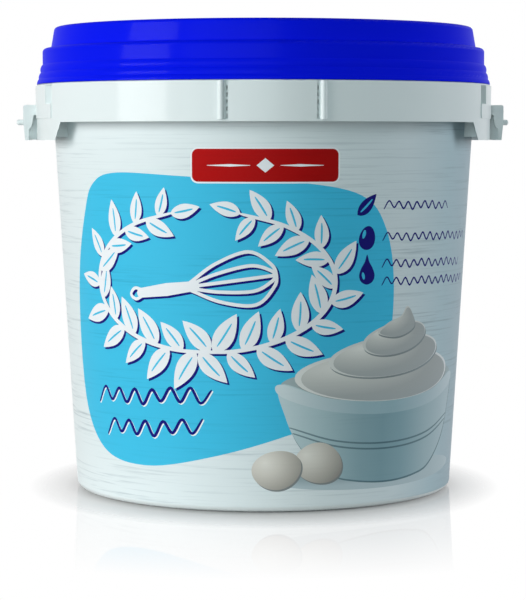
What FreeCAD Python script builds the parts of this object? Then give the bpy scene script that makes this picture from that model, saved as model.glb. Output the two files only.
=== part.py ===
import FreeCAD, Part
import math
import os
import Sketcher

# A round catering pail with a press-on lid, moulded in polypropylene and full, so it is solid
# inside. Millimetres. +Z is up, the origin is the centre of the foot on the floor, the two
# handle ears are on +X and -X, and the tamper tab faces -Y.
#
#   pail   tapered wall, stacking foot, rim bead, and the skirt with its webs, ears and tab
#   lid    thin-walled cap that snaps over the rim bead and carries the stacking ring

DRIVING_SIZES = [
    # wall and foot
    ("foot_radius", 86.7, "outside of the wall at floor level"),
    ("wall_draft", 3.41, "slope of the wall, degrees from upright"),
    ("deck_height", 185.9, "floor to the deck that the lid's edge comes down to"),
    ("foot_round", 3.5, "radius where the wall turns under"),
    ("foot_ring_width", 7.0, "width of the ring that the pail stands on"),
    ("foot_ring_slope", 1.5, "how far the ring's inner side leans in"),
    ("base_recess", 2.5, "height of the base above the floor"),
    # neck and rim
    ("rim_rise", 15.0, "deck to the top of the rim"),
    ("bead_overhang", 2.35, "how far the rim bead stands out from the neck"),
    ("bead_height", 6.3, "height of the rim bead"),
    ("bead_chamfer", 1.0, "lead-in round the top of the bead"),
    # lid
    ("lid_wall", 1.5, "wall of the lid"),
    ("rim_clearance", 0.35, "rim bead to the inside of the lid, all round"),
    ("edge_clearance", 0.15, "deck to the lid's lower edge"),
    ("ripple_count", 3, "steps round the lid's lower edge"),
    ("ripple_step", 0.9, "how much each step stands out from the one above"),
    ("ripple_height", 2.3, "height of the lowest step"),
    ("ripple_growth", 0.7, "how much taller each step is than the one below"),
    ("ripple_bulge", 3.5, "radius of each step's rounded face"),
    ("lid_round", 1.7, "radius of the lid's outer corners"),
    ("lid_fillet", 0.8, "radius in the lid's inner corners"),
    ("snap_depth", 0.8, "how far the snap ring reaches in under the rim bead"),
    ("snap_clearance", 0.3, "rim bead to the snap ring below it"),
    ("snap_height", 0.8, "flat of the snap ring"),
    ("ring_rise", 9.7, "ledge to the top of the stacking ring"),
    ("ring_setback", 3.85, "side of the lid to the foot of the stacking ring"),
    ("ring_taper", 1.7, "how far the ring's outer side leans in"),
    ("ring_top_width", 4.2, "width of the ring's flat top"),
    ("ring_inner_taper", 1.0, "how far the ring's inner side leans in"),
    ("panel_rise", 0.5, "ledge to the top of the recessed centre panel"),
    # skirt
    ("skirt_margin", 0.1, "how far the skirt stands out past the lid's edge"),
    ("skirt_wall", 1.6, "wall of the skirt"),
    ("deck_wall", 1.8, "thickness of the deck"),
    ("skirt_height", 17.4, "height of the skirt between the ears"),
    ("skirt_round", 0.6, "radius round the skirt's upper edge"),
    ("drop_height", 8.0, "how much lower the skirt hangs at the ears"),
    ("drop_top_angle", 29.3, "half angle of the deeper skirt where it begins"),
    ("drop_foot_angle", 25.9, "half angle of the deeper skirt at its lower edge"),
    ("web_wall", 1.2, "thickness of the webs between wall and skirt"),
    ("web_setback", 1.5, "lower edge of the skirt to the lower edge of a web"),
    ("web_first_angle", 22.5, "the ear's axis to the first web"),
    ("web_spread", 45.0, "first web to last in each quarter, which leaves the tab free"),
    ("web_count", 4, "webs in each quarter"),
    # raised pads behind the ears
    ("pad_raise", 0.5, "how far the pads stand out from the skirt"),
    ("pad_upper_angle", 20.2, "half angle of the upper pad"),
    ("pad_lower_angle", 23.9, "half angle of the lower pad"),
    ("pad_foot_rise", 1.8, "skirt's lower edge to the pads' lower edge"),
    ("pad_split_rise", 8.3, "skirt's lower edge to the top of the wider pad"),
    ("pad_top_gap", 0.8, "deck to the top of the pads and the slots"),
    # slots beside the upper pads
    ("slot_pad_angle", 19.7, "the ear's axis to the slot's leaning wall, where it opens"),
    ("slot_floor_angle", 20.8, "the ear's axis to the foot of the leaning wall"),
    ("slot_depth", 3.2, "how deep the slot is below the skirt"),
    ("slot_wall", 1.2, "thickness of the box that shuts the slot off behind"),
    # ears
    ("ear_reach", 6.25, "skirt to the outer face of the ear"),
    ("ear_half_angle", 6.2, "half angle that the ear spans"),
    ("ear_top_gap", 9.3, "deck to the top of the ear"),
    ("ear_plate", 1.6, "thickness of the hanging plate at its lower edge"),
    ("ear_lean", 0.8, "how far the plate's lower edge leans in"),
    ("ear_bridge", 4.6, "thickness of the bridge that carries the plate"),
    ("ear_pocket_top", 1.0, "width of the pocket at its top"),
    ("ear_pocket_neck", 2.1, "width of the pocket above its step"),
    ("ear_pocket_step", 5.0, "lower edge of the plate to the pocket's step"),
    ("ear_web", 15.0, "thickness of the web that closes the pocket"),
    ("ear_web_setback", 0.2, "lower edge of the plate to the lower edge of the web"),
    ("ear_round", 1.0, "radius of the ear's upper outer edge"),
    ("peg_diameter", 2.6, "peg that a handle would snap on to"),
    ("peg_length", 3.25, "peg outside the plate"),
    ("peg_drop", 17.2, "deck to the middle of the peg"),
    ("peg_chamfer", 0.6, "bevel round the peg's tip"),
    # tamper tab
    ("tab_width", 38.8, "middle of one tear line to the other, round the skirt"),
    ("tear_width", 1.3, "width of each tear line's groove"),
    ("tear_skin", 0.8, "skirt left under the groove"),
    ("tear_end_gap", 0.3, "deck to the upper end of the groove"),
    ("tear_foot_gap", 0.8, "skirt's lower edge to the lower end of groove and rib"),
    ("hole_count", 5, "perforations in each tear line"),
    ("hole_width", 0.6, "width of a perforation"),
    ("hole_fill", 0.62, "share of the tear line that the perforations take"),
    ("rib_width", 2.8, "width of the rib outside each tear line"),
    ("rib_gap", 0.3, "tear line's groove to the rib"),
    ("rib_raise", 1.4, "how far the rib stands out from the skirt"),
    # how far features run into what they join, or past what they cut
    ("bite", 0.6, "how far a joined piece reaches into the one that carries it"),
]

document = FreeCAD.newDocument("catering_pail")
sheet = document.addObject("Spreadsheet::Sheet", "sizes")
for row, (alias, value, note) in enumerate(DRIVING_SIZES, start=1):
    sheet.set(f"A{row}", alias)
    sheet.set(f"B{row}", str(value))
    sheet.set(f"C{row}", note)
    sheet.setAlias(f"B{row}", alias)
document.recompute()

PLACE_TOLERANCE = 0.01
AXIS = "0"


def of(alias):
    """The driving size, as it is written in an expression."""
    return f"<<sizes>>.{alias}"


def value_of(expression):
    """What an expression comes to, in millimetres, degrees or a plain count."""
    result = sheet.evalExpression(str(expression))
    return float(getattr(result, "Value", result))


# ---- places worked out from the driving sizes; each is an expression ----

DECK = of("deck_height")
DRAFT = f"tan({of('wall_draft')} * 1 deg)"
NECK_RADIUS = f"({of('foot_radius')} + {DECK} * {DRAFT})"
RIM_TOP = f"({DECK} + {of('rim_rise')})"
BEAD_RADIUS = f"({NECK_RADIUS} + {of('bead_overhang')})"
BEAD_FOOT = f"({RIM_TOP} - {of('bead_height')})"
TIER_INSIDE = f"({BEAD_RADIUS} + {of('rim_clearance')})"
TIER_RADIUS = f"({TIER_INSIDE} + {of('lid_wall')})"
LEDGE = f"({RIM_TOP} + {of('lid_wall')})"
LID_FOOT = f"({DECK} + {of('edge_clearance')})"
LID_RADIUS = f"({TIER_RADIUS} + {of('ripple_count')} * {of('ripple_step')})"
SKIRT_RADIUS = f"({LID_RADIUS} + {of('skirt_margin')})"
SKIRT_INSIDE = f"({SKIRT_RADIUS} - {of('skirt_wall')})"
SKIRT_FOOT = f"({DECK} - {of('skirt_height')})"
DROP_FOOT = f"({SKIRT_FOOT} - {of('drop_height')})"
EAR_RADIUS = f"({SKIRT_RADIUS} + {of('ear_reach')})"
EAR_TOP = f"({DECK} - {of('ear_top_gap')})"
PEG_HEIGHT = f"({DECK} - {of('peg_drop')})"
TAB_HALF_ANGLE = f"({of('tab_width')} / 2 / {SKIRT_RADIUS} * 180 / pi)"


def wall_radius(height):
    """Outside of the tapered wall at a height."""
    return f"({of('foot_radius')} + {height} * {DRAFT})"


def arc_angle(width):
    """Degrees that a width takes up round the skirt."""
    return f"({width} / {SKIRT_RADIUS} * 180 / pi)"


# ---- sketches and features ----

def origin_feature(body, role):
    """The body's own plane or axis of that name."""
    return next(item for item in body.Origin.OriginFeatures if item.Role == role)


def make_sketch(body, name, role="XZ_Plane", turn=None, shift=None):
    """A sketch on a plane of the body, turned about Z by degrees, or shifted along its normal."""
    sketch = body.newObject("Sketcher::SketchObject", name)
    sketch.AttachmentSupport = [(origin_feature(body, role), "")]
    sketch.MapMode = "FlatFace"
    if turn is not None:
        sketch.AttachmentOffset = FreeCAD.Placement(
            FreeCAD.Vector(), FreeCAD.Rotation(FreeCAD.Vector(0, 1, 0), value_of(turn)))
        sketch.setExpression("AttachmentOffset.Rotation.Angle", turn)
    if shift is not None:
        sketch.setExpression("AttachmentOffset.Base.z", shift)
    return sketch


def bind(sketch, kind, *where):
    """Adds a constraint whose size is the expression given last."""
    *ends, expression = where
    index = sketch.addConstraint(Sketcher.Constraint(kind, *ends, value_of(expression)))
    sketch.setExpression(f"Constraints[{index}]", expression)


def arc_between(start, end, radius):
    """An arc to the right of the line from start to end, and whether it begins at start."""
    chord = end - start
    outward = FreeCAD.Vector(chord.y, -chord.x, 0).normalize()
    depth = math.sqrt(radius ** 2 - (chord.Length / 2) ** 2)
    centre = (start + end) / 2 - outward * depth
    circle = Part.Circle(centre, FreeCAD.Vector(0, 0, 1), radius)
    first = math.atan2(start.y - centre.y, start.x - centre.x)
    last = math.atan2(end.y - centre.y, end.x - centre.x)
    return Part.ArcOfCircle(circle, first, last)


def draw(sketch, points):
    """Draws a closed outline, anticlockwise. Each point is (across, up) in expressions.

    A third item is a radius: the stretch from there to the next point is then an arc that
    bulges out of the outline.
    """
    places = [FreeCAD.Vector(value_of(p[0]), value_of(p[1]), 0) for p in points]
    first_index = sketch.GeometryCount
    for number, point in enumerate(points):
        start = places[number]
        end = places[(number + 1) % len(points)]
        if len(point) == 3:
            sketch.addGeometry(arc_between(start, end, value_of(point[2])))
        else:
            sketch.addGeometry(Part.LineSegment(start, end))
    for number, point in enumerate(points):
        index = first_index + number
        following = first_index + (number + 1) % len(points)
        sketch.addConstraint(Sketcher.Constraint("Coincident", index, 2, following, 1))
        if point[0] == AXIS:
            sketch.addConstraint(Sketcher.Constraint("PointOnObject", index, 1, -2))
        else:
            bind(sketch, "DistanceX", -1, 1, index, 1, point[0])
        if point[1] == AXIS:
            sketch.addConstraint(Sketcher.Constraint("PointOnObject", index, 1, -1))
        else:
            bind(sketch, "DistanceY", -1, 1, index, 1, point[1])
        if len(point) == 3:
            bind(sketch, "Radius", index, point[2])


def draw_rectangle(sketch, left, low, right, high):
    """Draws an upright rectangle from its four sides."""
    draw(sketch, [(left, low), (right, low), (right, high), (left, high)])


def feature(body, kind, name, **settings):
    """A PartDesign feature with its plain settings; it becomes the body's tip."""
    made = body.newObject(f"PartDesign::{kind}", name)
    for key, setting in settings.items():
        setattr(made, key, setting)
    body.Tip = made
    return made


def turn_profile(body, kind, name, sketch, angle=None):
    """A Revolution or Groove about Z: right round, or an angle centred on the sketch."""
    made = feature(body, kind, name, Profile=sketch, ReferenceAxis=(sketch, ["V_Axis"]))
    if angle is None:
        made.Angle = 360
    else:
        made.Midplane = True
        made.setExpression("Angle", angle)
    return made


def mirror(body, name, originals, role="YZ_Plane"):
    """The same features again on the other side of a plane."""
    return feature(body, "Mirrored", name, Originals=originals,
                   MirrorPlane=(origin_feature(body, role), [""]))


def quarter_mirrors(body, name):
    """The two mirrorings that carry what stands in one quarter into all four."""
    mirrorings = []
    for role in ("XZ_Plane", "YZ_Plane"):
        mirroring = body.newObject("PartDesign::Mirrored", f"{name}_mirror_{role[:2]}")
        mirroring.MirrorPlane = (origin_feature(body, role), [""])
        mirrorings.append(mirroring)
    return mirrorings


def ring_edges(shape, rings):
    """Names of the edges that lie on circles about Z, given as (radius, height) pairs."""
    wanted = [(value_of(radius), value_of(height)) for radius, height in rings]
    names = []
    for number, edge in enumerate(shape.Edges, start=1):
        ends = [edge.valueAt(edge.FirstParameter), edge.valueAt(edge.LastParameter)]
        for radius, height in wanted:
            if all(abs(math.hypot(p.x, p.y) - radius) < PLACE_TOLERANCE
                   and abs(p.z - height) < PLACE_TOLERANCE for p in ends):
                names.append(f"Edge{number}")
    return names


def round_edges(body, name, base, rings, radius):
    """A fillet on the ring edges at those places."""
    document.recompute()
    made = feature(body, "Fillet", name, Base=(base, ring_edges(base.Shape, rings)))
    made.setExpression("Radius", radius)
    return made


# ---- the pail's core: wall, foot, neck and rim, filled to the rim ----

core = document.addObject("PartDesign::Body", "core")
foot_inside = f"({of('foot_radius')} - {of('foot_ring_width')})"
core_outline = make_sketch(core, "core_outline")
draw(core_outline, [
    (AXIS, of("base_recess")),
    (f"{foot_inside} - {of('foot_ring_slope')}", of("base_recess")),
    (foot_inside, AXIS),
    (of("foot_radius"), AXIS),
    (wall_radius(BEAD_FOOT), BEAD_FOOT),
    (BEAD_RADIUS, BEAD_FOOT),
    (BEAD_RADIUS, f"{RIM_TOP} - {of('bead_chamfer')}"),
    (f"{BEAD_RADIUS} - {of('bead_chamfer')}", RIM_TOP),
    (AXIS, RIM_TOP),
])
core_turned = turn_profile(core, "Revolution", "core_turned", core_outline)
round_edges(core, "foot_rounded", core_turned, [(of("foot_radius"), "0")], of("foot_round"))

# ---- the skirt: a deck and an apron all round, deeper at the two ears ----

skirt = document.addObject("PartDesign::Body", "skirt")
apron_root = f"({NECK_RADIUS} - {of('deck_wall')} * {DRAFT} - {of('bite')})"
apron_outline = make_sketch(skirt, "apron_outline")
draw(apron_outline, [
    (apron_root, f"{DECK} - {of('deck_wall')}"),
    (SKIRT_INSIDE, f"{DECK} - {of('deck_wall')}"),
    (SKIRT_INSIDE, DROP_FOOT),
    (SKIRT_RADIUS, DROP_FOOT),
    (SKIRT_RADIUS, DECK),
    (apron_root, DECK),
])
apron = turn_profile(skirt, "Revolution", "apron", apron_outline)

# Front and back, the apron is cut short, which leaves a deeper part with slanted ends at each ear.
drop_half_width = f"({SKIRT_RADIUS} * cos({of('drop_foot_angle')} * 1 deg))"
short_half_width = f"({SKIRT_RADIUS} * cos({of('drop_top_angle')} * 1 deg))"
below = f"({DROP_FOOT} - {of('drop_height')})"
wider = f"(2 * {drop_half_width} - {short_half_width})"
cutaway_outline = make_sketch(skirt, "cutaway_outline")
draw(cutaway_outline, [
    (f"-{wider}", below),
    (wider, below),
    (short_half_width, SKIRT_FOOT),
    (f"-{short_half_width}", SKIRT_FOOT),
])
cutaway = feature(skirt, "Pocket", "cutaway", Profile=cutaway_outline,
                  SideType="Symmetric", Type="ThroughAll")
apron_rounded = round_edges(skirt, "apron_rounded", cutaway, [(SKIRT_RADIUS, DECK)],
                            of("skirt_round"))

# Webs tie the apron to the wall. They stand on sketches turned to their place, a quarter at a
# time, and the one at each end of the deeper apron runs down to its lower edge.
web_outer = f"({SKIRT_RADIUS} - {of('skirt_wall')} / 2)"
first_web = make_sketch(skirt, "web_outline", turn=of("web_first_angle"))
web_foot = f"({SKIRT_FOOT} + {of('web_setback')})"
draw(first_web, [
    (f"{wall_radius(web_foot)} - {of('bite')}", web_foot),
    (web_outer, web_foot),
    (web_outer, f"{DECK} - {of('deck_wall')} / 2"),
    (f"{wall_radius(web_foot)} - {of('bite')}", f"{DECK} - {of('deck_wall')} / 2"),
])
web = feature(skirt, "Pad", "web", Profile=first_web, SideType="Symmetric")
web.setExpression("Length", of("web_wall"))
web_row = skirt.newObject("PartDesign::PolarPattern", "web_row")
web_row.Axis = (origin_feature(skirt, "Z_Axis"), [""])
web_row.setExpression("Angle", of("web_spread"))
web_row.setExpression("Occurrences", of("web_count"))
feature(skirt, "MultiTransform", "webs", Originals=[web],
        Transformations=[web_row, *quarter_mirrors(skirt, "web")])

deep_foot = f"({DROP_FOOT} + {of('web_setback')})"
deep_web_outline = make_sketch(skirt, "deep_web_outline", turn=of("web_first_angle"))
draw_rectangle(deep_web_outline, f"{wall_radius(deep_foot)} - {of('bite')}", deep_foot,
               web_outer, f"{DECK} - {of('deck_wall')} / 2")
deep_web = feature(skirt, "Pad", "deep_web", Profile=deep_web_outline, SideType="Symmetric")
deep_web.setExpression("Length", of("web_wall"))
mirror(skirt, "deep_webs", [deep_web], "XZ_Plane")

# ---- one ear on +X: raised pads, hanging plate on its bridge, closing web and peg ----

ear_root = f"({SKIRT_RADIUS} - {of('bite')})"
pad_foot = f"({SKIRT_FOOT} + {of('pad_foot_rise')})"
for pad_name, pad_top in (("upper", f"({DECK} - {of('pad_top_gap')})"),
                          ("lower", f"({SKIRT_FOOT} + {of('pad_split_rise')})")):
    pad_outline = make_sketch(skirt, f"{pad_name}_pad_outline")
    draw_rectangle(pad_outline, ear_root, pad_foot,
                   f"{SKIRT_RADIUS} + {of('pad_raise')}", pad_top)
    turn_profile(skirt, "Revolution", f"{pad_name}_pad", pad_outline,
                 f"2 * {of(f'pad_{pad_name}_angle')}")

bridge_foot = f"({EAR_TOP} - {of('ear_bridge')})"
pocket_top = f"({SKIRT_RADIUS} + {of('pad_raise')} + {of('ear_pocket_top')})"
pocket_neck = f"({SKIRT_RADIUS} + {of('pad_raise')} + {of('ear_pocket_neck')})"
pocket_step = f"({DROP_FOOT} + {of('ear_pocket_step')})"
plate_foot = f"({EAR_RADIUS} - {of('ear_lean')})"
pocket_foot = f"({plate_foot} - {of('ear_plate')})"
ear_outline = make_sketch(skirt, "ear_outline")
draw(ear_outline, [
    (ear_root, bridge_foot),
    (pocket_top, bridge_foot),
    (pocket_neck, f"{pocket_step} + {pocket_foot} - {pocket_neck}"),
    (pocket_foot, pocket_step),
    (pocket_foot, DROP_FOOT),
    (plate_foot, DROP_FOOT),
    (EAR_RADIUS, PEG_HEIGHT),
    (EAR_RADIUS, EAR_TOP),
    (ear_root, EAR_TOP),
])
ear = turn_profile(skirt, "Revolution", "ear", ear_outline, f"2 * {of('ear_half_angle')}")
ear_rounded = round_edges(skirt, "ear_rounded", ear, [(EAR_RADIUS, EAR_TOP)], of("ear_round"))

closing_foot = f"({DROP_FOOT} + {of('ear_web_setback')})"
closing_outline = make_sketch(skirt, "closing_outline")
draw(closing_outline, [
    (ear_root, closing_foot),
    (f"{pocket_foot} + {of('bite')}", closing_foot),
    (f"{pocket_foot} + {of('bite')}", pocket_step),
    (f"{pocket_top} + {of('bite')}", f"{bridge_foot} + {of('bite')}"),
    (ear_root, f"{bridge_foot} + {of('bite')}"),
])
closing_web = feature(skirt, "Pad", "closing_web", Profile=closing_outline,
                      SideType="Symmetric")
closing_web.setExpression("Length", of("ear_web"))

peg_inset = f"({of('ear_plate')} / 2)"
peg_outline = make_sketch(skirt, "peg_outline", "YZ_Plane", shift=f"{EAR_RADIUS} - {peg_inset}")
peg_centre = FreeCAD.Vector(0, value_of(PEG_HEIGHT), 0)
peg_circle = peg_outline.addGeometry(
    Part.Circle(peg_centre, FreeCAD.Vector(0, 0, 1), value_of(of("peg_diameter")) / 2))
peg_outline.addConstraint(Sketcher.Constraint("PointOnObject", peg_circle, 3, -2))
bind(peg_outline, "DistanceY", -1, 1, peg_circle, 3, PEG_HEIGHT)
bind(peg_outline, "Diameter", peg_circle, of("peg_diameter"))
peg = feature(skirt, "Pad", "peg", Profile=peg_outline)
peg.setExpression("Length", f"{of('peg_length')} + {peg_inset}")
document.recompute()
peg_tip = value_of(EAR_RADIUS) + value_of(of("peg_length"))
tip_edges = [f"Edge{number}" for number, edge in enumerate(peg.Shape.Edges, start=1)
             if edge.BoundBox.XMin > peg_tip - PLACE_TOLERANCE]
peg_bevelled = feature(skirt, "Chamfer", "peg_bevelled", Base=(peg, tip_edges))
peg_bevelled.setExpression("Size", of("peg_chamfer"))

both_ears = mirror(skirt, "both_ears", [])
both_ears.TransformMode = "Whole shape"

# Beside each upper pad an upright slot sinks into the skirt. A box behind it keeps the slot
# shut, and the wall towards the ear leans, so that it faces more to the front.
slot_foot = f"({SKIRT_FOOT} + {of('pad_split_rise')})"
slot_top = f"({DECK} - {of('pad_top_gap')})"
slot_floor = f"({SKIRT_RADIUS} - {of('slot_depth')})"
box_outline = make_sketch(skirt, "slot_box_outline",
                          turn=f"(({of('slot_pad_angle')} + {of('pad_lower_angle')}) / 2)")
draw_rectangle(box_outline, f"{slot_floor} - {of('slot_wall')}", f"{slot_foot} - {of('slot_wall')}",
               f"{SKIRT_INSIDE} + {of('bite')}", f"{DECK} - {of('deck_wall')} / 2")
slot_walls = f"2 * {of('slot_wall')}"
slot_box = turn_profile(skirt, "Revolution", "slot_box", box_outline,
                        f"{of('pad_lower_angle')} - {of('slot_pad_angle')}"
                        f" + {arc_angle(slot_walls)}")

slot_outline = make_sketch(skirt, "slot_outline", "XY_Plane", shift=slot_top)
slot_mouth = f"({SKIRT_RADIUS} + {of('pad_raise')} + {of('bite')})"
draw(slot_outline, [(f"{radius} * cos({angle} * 1 deg)", f"{radius} * sin({angle} * 1 deg)")
                    for radius, angle in ((slot_mouth, of("slot_pad_angle")),
                                          (slot_mouth, of("pad_lower_angle")),
                                          (slot_floor, of("pad_lower_angle")),
                                          (slot_floor, of("slot_floor_angle")))])
slot = feature(skirt, "Pocket", "slot", Profile=slot_outline)
slot.setExpression("Length", f"{slot_top} - {slot_foot}")
feature(skirt, "MultiTransform", "slots", Originals=[slot_box, slot],
        Transformations=quarter_mirrors(skirt, "slot"))

# ---- the tamper tab on -Y: a tear line at each side, perforated, with a rib outside it ----

right_tear = f"({TAB_HALF_ANGLE} - 90)"
tear_foot = f"({SKIRT_FOOT} + {of('tear_foot_gap')})"
tear_floor = f"({SKIRT_INSIDE} + {of('tear_skin')})"
tear_outline = make_sketch(skirt, "tear_outline", turn=right_tear)
draw_rectangle(tear_outline, tear_floor, tear_foot,
               f"{SKIRT_RADIUS} + {of('bite')}", f"{DECK} - {of('tear_end_gap')}")
tear_line = turn_profile(skirt, "Groove", "tear_line", tear_outline,
                         arc_angle(of("tear_width")))

hole_pitch = f"(({of('skirt_height')} - {of('tear_foot_gap')} - {of('deck_wall')})" \
             f" / {of('hole_count')})"
hole_outline = make_sketch(skirt, "hole_outline", turn=right_tear)
for number in range(int(value_of(of("hole_count")))):
    hole_foot = f"({tear_foot} + {hole_pitch} * ({number} + 0.5 - {of('hole_fill')} / 2))"
    draw_rectangle(hole_outline, f"{SKIRT_INSIDE} - {of('bite')}", hole_foot,
                   f"{tear_floor} + {of('bite')} / 2",
                   f"{hole_foot} + {hole_pitch} * {of('hole_fill')}")
tear_holes = turn_profile(skirt, "Groove", "tear_holes", hole_outline,
                          arc_angle(of("hole_width")))

rib_offset = f"({of('tear_width')} / 2 + {of('rib_gap')} + {of('rib_width')} / 2)"
rib_angle = f"({TAB_HALF_ANGLE} + {arc_angle(rib_offset)})"
rib_centre = f"({SKIRT_RADIUS} + {of('rib_raise')} - {of('rib_width')} / 2)"
rib_outline = make_sketch(skirt, "rib_outline", "XY_Plane", shift=tear_foot)
rib_across = f"{rib_centre} * sin({rib_angle} * 1 deg)"
rib_forward = f"-{rib_centre} * cos({rib_angle} * 1 deg)"
rib_circle = rib_outline.addGeometry(Part.Circle(
    FreeCAD.Vector(value_of(rib_across), value_of(rib_forward), 0),
    FreeCAD.Vector(0, 0, 1), value_of(of("rib_width")) / 2))
bind(rib_outline, "DistanceX", -1, 1, rib_circle, 3, rib_across)
bind(rib_outline, "DistanceY", -1, 1, rib_circle, 3, rib_forward)
bind(rib_outline, "Diameter", rib_circle, of("rib_width"))
rib = feature(skirt, "Pad", "rib", Profile=rib_outline)
rib.setExpression("Length", f"{of('skirt_height')} - {of('tear_foot_gap')} - {of('tear_end_gap')}")
mirror(skirt, "both_tears", [tear_line, tear_holes, rib])

pail = document.addObject("Part::MultiFuse", "pail")
pail.Shapes = [core, skirt]
pail.Refine = True

# ---- the lid: rippled edge, snap ring, ledge, stacking ring and recessed panel ----

lid = document.addObject("PartDesign::Body", "lid")
ring_foot_radius = f"({TIER_RADIUS} - {of('ring_setback')})"
ring_top = f"({LEDGE} + {of('ring_rise')})"
ring_top_radius = f"({ring_foot_radius} - {of('ring_taper')})"
ring_inner_top = f"({ring_top_radius} - {of('ring_top_width')})"
panel_radius = f"({ring_inner_top} - {of('ring_inner_taper')})"
panel_top = f"({LEDGE} + {of('panel_rise')})"
snap_top = f"({BEAD_FOOT} - {of('snap_clearance')})"
snap_inside = f"({BEAD_RADIUS} - {of('snap_depth')})"
snap_lead = f"({TIER_INSIDE} - {snap_inside})"


def ripple_foot(number):
    """Height where a step of the rippled edge starts, counted from the lowest."""
    growth = number * (number - 1) // 2
    return f"({LID_FOOT} + {number} * {of('ripple_height')} + {growth} * {of('ripple_growth')})"


ripple_count = int(value_of(of("ripple_count")))
ripples = [(f"{LID_RADIUS} - {number} * {of('ripple_step')}", ripple_foot(number),
            of("ripple_bulge")) for number in range(ripple_count)]
lid_outline = make_sketch(lid, "lid_outline")
draw(lid_outline, [
    (f"{LID_RADIUS} - {of('lid_wall')}", LID_FOOT),
    *ripples,
    (TIER_RADIUS, ripple_foot(ripple_count)),
    (TIER_RADIUS, LEDGE),
    (ring_foot_radius, LEDGE),
    (ring_top_radius, ring_top),
    (ring_inner_top, ring_top),
    (panel_radius, panel_top),
    (AXIS, panel_top),
    (AXIS, f"{panel_top} - {of('lid_wall')}"),
    (f"{panel_radius} + {of('lid_wall')}", f"{panel_top} - {of('lid_wall')}"),
    (f"{ring_inner_top} + {of('lid_wall')}", f"{ring_top} - {of('lid_wall')}"),
    (f"{ring_top_radius} - {of('lid_wall')}", f"{ring_top} - {of('lid_wall')}"),
    (f"{ring_foot_radius} - {of('lid_wall')}", RIM_TOP),
    (TIER_INSIDE, RIM_TOP),
    (TIER_INSIDE, snap_top),
    (snap_inside, snap_top),
    (snap_inside, f"{snap_top} - {of('snap_height')}"),
    (TIER_INSIDE, f"{snap_top} - {of('snap_height')} - {snap_lead}"),
])
lid_turned = turn_profile(lid, "Revolution", "lid_turned", lid_outline)
lid_rounded = round_edges(lid, "lid_rounded", lid_turned,
                          [(TIER_RADIUS, LEDGE), (ring_top_radius, ring_top)], of("lid_round"))
round_edges(lid, "lid_filleted", lid_rounded,
            [(ring_foot_radius, LEDGE), (ring_inner_top, ring_top), (panel_radius, panel_top)],
            of("lid_fillet"))

# ---- checks and files ----

document.recompute()
for item in document.Objects:
    faults = {"Invalid", "Error"} & set(item.State)
    if faults:
        raise RuntimeError(f"{item.Name} is {', '.join(faults)}")

os.makedirs("parts", exist_ok=True)
for node in (pail, lid):
    if node.Shape.isNull() or not node.Shape.isValid() or len(node.Shape.Solids) != 1:
        raise RuntimeError(f"{node.Label} isn't one sound solid")
    node.Shape.exportStep(f"parts/{node.Label}.step")
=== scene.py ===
import math

import bpy
import numpy as np
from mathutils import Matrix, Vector
from mathutils.geometry import delaunay_2d_cdt


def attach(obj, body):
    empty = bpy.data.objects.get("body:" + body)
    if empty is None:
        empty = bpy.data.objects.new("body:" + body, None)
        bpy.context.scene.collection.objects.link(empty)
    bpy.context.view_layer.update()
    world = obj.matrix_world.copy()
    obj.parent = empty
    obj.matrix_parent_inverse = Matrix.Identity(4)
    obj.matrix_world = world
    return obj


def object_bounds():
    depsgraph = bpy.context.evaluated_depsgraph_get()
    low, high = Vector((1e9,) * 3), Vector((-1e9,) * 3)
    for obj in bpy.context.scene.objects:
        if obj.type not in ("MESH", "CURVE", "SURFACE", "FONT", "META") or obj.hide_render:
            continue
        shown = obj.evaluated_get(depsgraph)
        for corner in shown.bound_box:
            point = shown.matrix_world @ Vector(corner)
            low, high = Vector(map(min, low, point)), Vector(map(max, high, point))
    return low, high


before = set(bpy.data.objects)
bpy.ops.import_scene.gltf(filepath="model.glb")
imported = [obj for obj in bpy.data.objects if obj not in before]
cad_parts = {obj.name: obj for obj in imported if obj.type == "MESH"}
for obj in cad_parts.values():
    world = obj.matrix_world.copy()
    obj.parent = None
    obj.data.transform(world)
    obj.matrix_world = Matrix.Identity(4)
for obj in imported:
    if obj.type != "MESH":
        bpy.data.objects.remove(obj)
cad_box = [list(corner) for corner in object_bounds()]


# ---- the pail ----
# One injection moulding in white polypropylene: tapered wall, stacking foot, and a skirt with
# ears, pegs and a break-off tab. The tool's fine spark finish leaves the skin satin, and the
# plastic is a little uneven in tone where it cooled.

MM = 0.001
PAIL_WHITE = "#EBF2F2"
PAIL_WHITE_THICK = "#E4ECEC"
POLYPROPYLENE_IOR = 1.49
SKIN_ROUGHNESS = 0.45
SKIN_PATCHES = 0.04
COAT_ROUGHNESS = 0.12
# In millimetres: how far the tone drifts, and the size and height of the skin's grain.
TONE_DRIFT = 111.0
GRAIN_SIZE = 0.625
GRAIN_HEIGHT = 0.2
GRAIN_STRENGTH = 0.06


def linear(code):
    """A colour written as sRGB hex, as linear RGBA."""
    channels = [int(code[start:start + 2], 16) / 255 for start in (1, 3, 5)]
    return [c / 12.92 if c <= 0.04045 else ((c + 0.055) / 1.055) ** 2.4 for c in channels] + [1.0]


def add(tree, kind, settings=None, inputs=None):
    """Adds a node. An input is a plain value, or the output socket that feeds it."""
    node = tree.nodes.new(kind)
    for name, setting in (settings or {}).items():
        setattr(node, name, setting)
    for name, source in (inputs or {}).items():
        if isinstance(source, bpy.types.NodeSocket):
            tree.links.new(source, node.inputs[name])
        else:
            node.inputs[name].default_value = source
    return node


def new_material(name):
    """An empty material, its node tree and the surface socket of its output."""
    material = bpy.data.materials.new(name)
    material.use_nodes = True
    material.node_tree.nodes.clear()
    output = add(material.node_tree, "ShaderNodeOutputMaterial")
    return material, material.node_tree, output.inputs["Surface"]


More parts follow.
